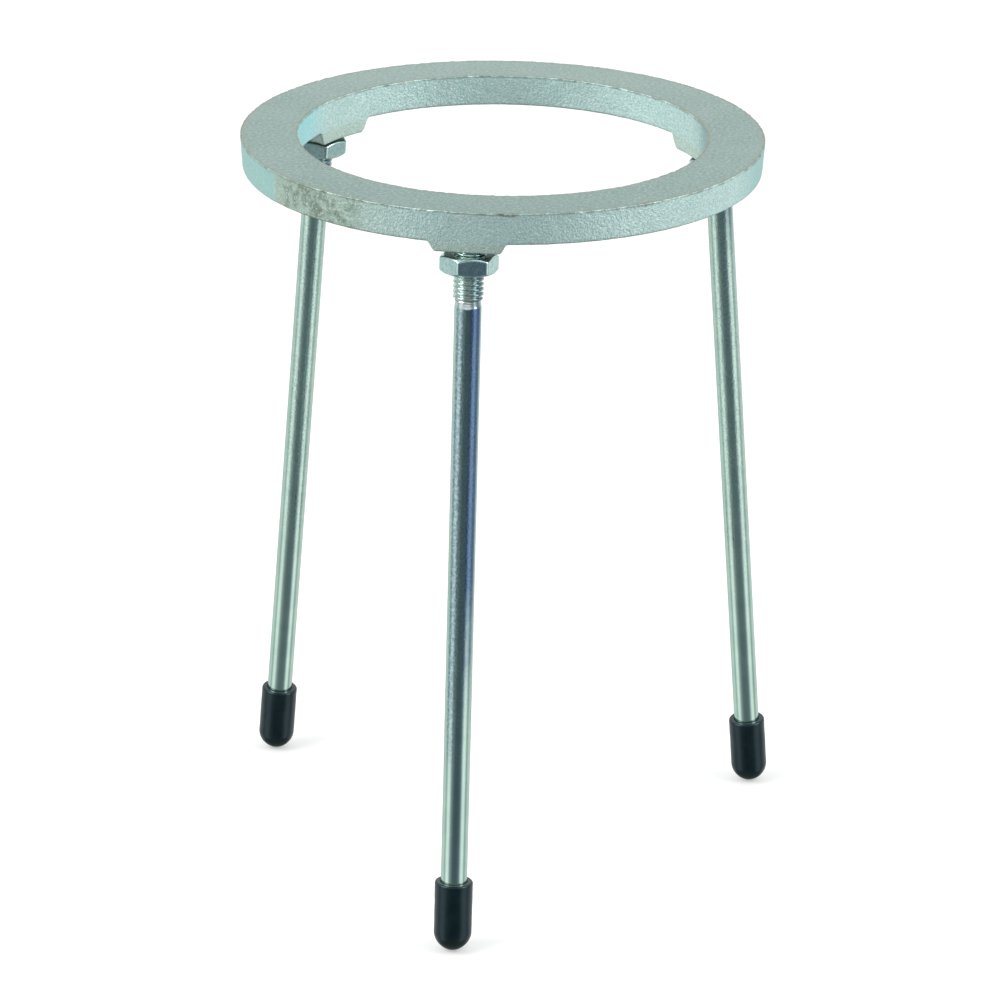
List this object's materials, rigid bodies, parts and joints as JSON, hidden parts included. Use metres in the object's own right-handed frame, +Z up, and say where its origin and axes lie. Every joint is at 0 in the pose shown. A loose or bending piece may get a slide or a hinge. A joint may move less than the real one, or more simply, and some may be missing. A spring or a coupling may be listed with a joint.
{
  "type": "laboratory tripod stand",
  "caption": "Open cast ring on splayed round steel legs, screwed in and locked by thin hex nuts, with push-on foot caps; holds glassware or gauze above a burner.",
  "frame": {"origin": "on the ring's axis, in the plane of the bench that the foot caps stand on", "axes": "+Z up along the ring's axis; the front leg leans out along -Y; +X to the right seen from the front"},
  "size_m": [0.1484, 0.1548, 0.2025],
  "materials": {
    "cast_zinc": "zinc plated sand casting: satin ground top face, rough sparkling walls",
    "bright_zinc": "bright zinc plated round bar with a rolled thread",
    "nut_zinc": "bright zinc plate with a faint green cast",
    "black_vinyl": "dipped vinyl, matte with a soft sheen"
  },
  "bodies": {
    "root": {"ring": "cast_zinc", "leg_front": "bright_zinc", "leg_right": "bright_zinc", "leg_left": "bright_zinc", "lock_nut_front": "nut_zinc", "lock_nut_right": "nut_zinc", "lock_nut_left": "nut_zinc", "foot_cap_front": "black_vinyl", "foot_cap_right": "black_vinyl", "foot_cap_left": "black_vinyl"}
  },
  "joints": []
}
